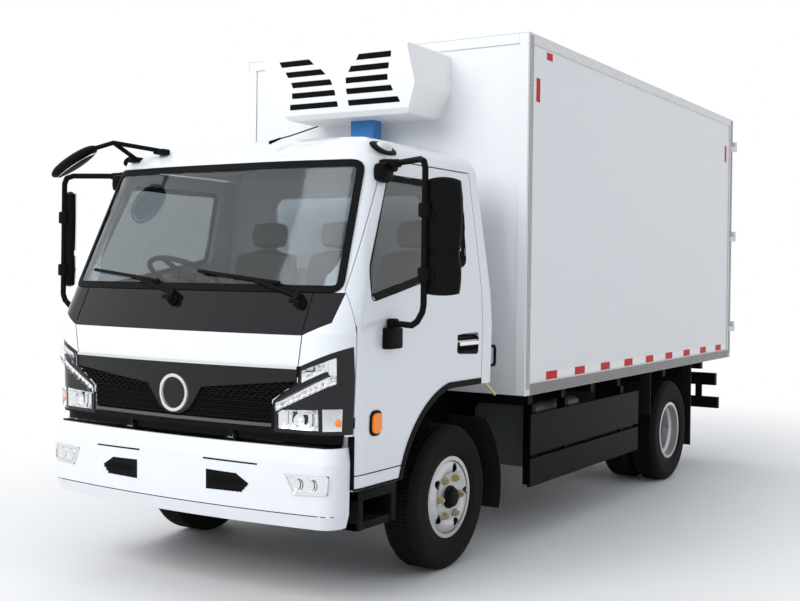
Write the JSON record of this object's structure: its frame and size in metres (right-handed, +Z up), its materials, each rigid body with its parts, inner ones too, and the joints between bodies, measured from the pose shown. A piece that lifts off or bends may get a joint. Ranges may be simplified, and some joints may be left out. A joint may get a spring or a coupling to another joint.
{
  "type": "refrigerated truck",
  "caption": "Cab-over light truck with a tilting cab, hinged doors, steered front wheels, twin rear wheels and an insulated box with a fridge unit and rear doors.",
  "frame": {"origin": "on the ground under the middle of the truck's length and width", "axes": "+X to the truck's left, +Y to its rear, +Z up"},
  "size_m": [2.815, 5.995, 3.0619],
  "materials": {
    "cab_paint": "gloss white",
    "box_skin": "smooth white sandwich panel",
    "edge_trim": "anodised extrusion",
    "frame_black": "satin black chassis paint",
    "engine_metal": "cast",
    "black_plastic": "grained black",
    "black_gloss": "piano black",
    "lamp_lens": "clear moulded lens over a bright reflector",
    "rear_lamp": "red and amber lens",
    "glass": "clear automotive glass",
    "cabin_trim": "grained dark grey",
    "seat_cover": "woven cloth under clear film",
    "tank_grey": "satin grey",
    "guard_black": "satin black",
    "flap_rubber": "moulded rubber",
    "hose_blue": "blue cover",
    "tyre": "moulded rubber",
    "rim_silver": "silver lacquer"
  },
  "bodies": {
    "chassis": {"frame_rails": "frame_black", "cross_members": "frame_black", "front_axle": "frame_black", "rear_axle": "frame_black", "leaf_springs": "frame_black", "engine_block": "engine_metal", "front_bumper": "cab_paint", "chassis_lamps": "rear_lamp", "side_guards": "guard_black", "side_boxes": "tank_grey", "mud_flaps": "flap_rubber", "underrun_bar": "frame_black", "box_floor": "box_skin", "box_sides": "box_skin", "box_front_wall": "box_skin", "box_roof": "box_skin", "box_rails": "edge_trim", "fridge_unit": "cab_paint", "hose_cover": "hose_blue"},
    "cab": {"cab_front": "cab_paint", "cab_sides": "cab_paint", "cab_roof": "cab_paint", "cab_rear": "cab_paint", "cab_floor": "frame_black", "cab_glass": "glass", "front_panel": "black_gloss", "grille": "black_plastic", "headlamps": "lamp_lens", "dashboard": "cabin_trim", "steering_wheel": "cabin_trim", "seats": "seat_cover", "wipers": "black_plastic", "kerb_mirror": "black_plastic"},
    "door_left": {"door_left": "cab_paint", "door_glass_left": "glass", "mirror_left": "black_plastic"},
    "rear_door_left": {"rear_door_left": "box_skin"},
    "knuckle_left": {"knuckle_left": "frame_black"},
    "front_wheel_left": {"front_tyre_left": "tyre", "front_rim_left": "rim_silver"},
    "rear_wheel_left": {"rear_tyres_left": "tyre", "rear_rims_left": "rim_silver"},
    "door_right": {"door_right": "cab_paint", "door_glass_right": "glass", "mirror_right": "black_plastic"},
    "rear_door_right": {"rear_door_right": "box_skin"},
    "knuckle_right": {"knuckle_right": "frame_black"},
    "front_wheel_right": {"front_tyre_right": "tyre", "front_rim_right": "rim_silver"},
    "rear_wheel_right": {"rear_tyres_right": "tyre", "rear_rims_right": "rim_silver"}
  },
  "joints": [
    {"name": "cab_tilt", "type": "hinge", "parent": "chassis", "child": "cab", "pos_m": [0, -2.9275, 0.815], "axis": [1, 0, 0], "range_deg": [0, 45]},
    {"name": "door_left_swing", "type": "hinge", "parent": "cab", "child": "door_left", "pos_m": [0.976, -2.7505, 1.1215], "axis": [0, 0, -1], "range_deg": [0, 70]},
    {"name": "rear_door_left_swing", "type": "hinge", "parent": "chassis", "child": "rear_door_left", "pos_m": [1.098, 2.9835, 2], "axis": [0, 0, -1], "range_deg": [0, 265]},
    {"name": "steer_left", "type": "hinge", "parent": "chassis", "child": "knuckle_left", "pos_m": [0.7, -1.8325, 0.394], "axis": [0, 0, 1], "range_deg": [-35, 35]},
    {"name": "front_wheel_left_spin", "type": "hinge", "parent": "knuckle_left", "child": "front_wheel_left", "pos_m": [0.851, -1.8325, 0.394], "axis": [1, 0, 0], "continuous": true},
    {"name": "rear_wheel_left_spin", "type": "hinge", "parent": "chassis", "child": "rear_wheel_left", "pos_m": [0.8175, 1.4755, 0.394], "axis": [1, 0, 0], "continuous": true},
    {"name": "door_right_swing", "type": "hinge", "parent": "cab", "child": "door_right", "pos_m": [-0.976, -2.7505, 1.1215], "axis": [0, 0, 1], "range_deg": [0, 70]},
    {"name": "rear_door_right_swing", "type": "hinge", "parent": "chassis", "child": "rear_door_right", "pos_m": [-1.098, 2.9835, 2], "axis": [0, 0, 1], "range_deg": [0, 265]},
    {"name": "steer_right", "type": "hinge", "parent": "chassis", "child": "knuckle_right", "pos_m": [-0.7, -1.8325, 0.394], "axis": [0, 0, 1], "range_deg": [-35, 35]},
    {"name": "front_wheel_right_spin", "type": "hinge", "parent": "knuckle_right", "child": "front_wheel_right", "pos_m": [-0.851, -1.8325, 0.394], "axis": [1, 0, 0], "continuous": true},
    {"name": "rear_wheel_right_spin", "type": "hinge", "parent": "chassis", "child": "rear_wheel_right", "pos_m": [-0.8175, 1.4755, 0.394], "axis": [1, 0, 0], "continuous": true}
  ],
  "couplings": [
    {"joint": "steer_right", "follows": "steer_left", "ratio": 1}
  ]
}
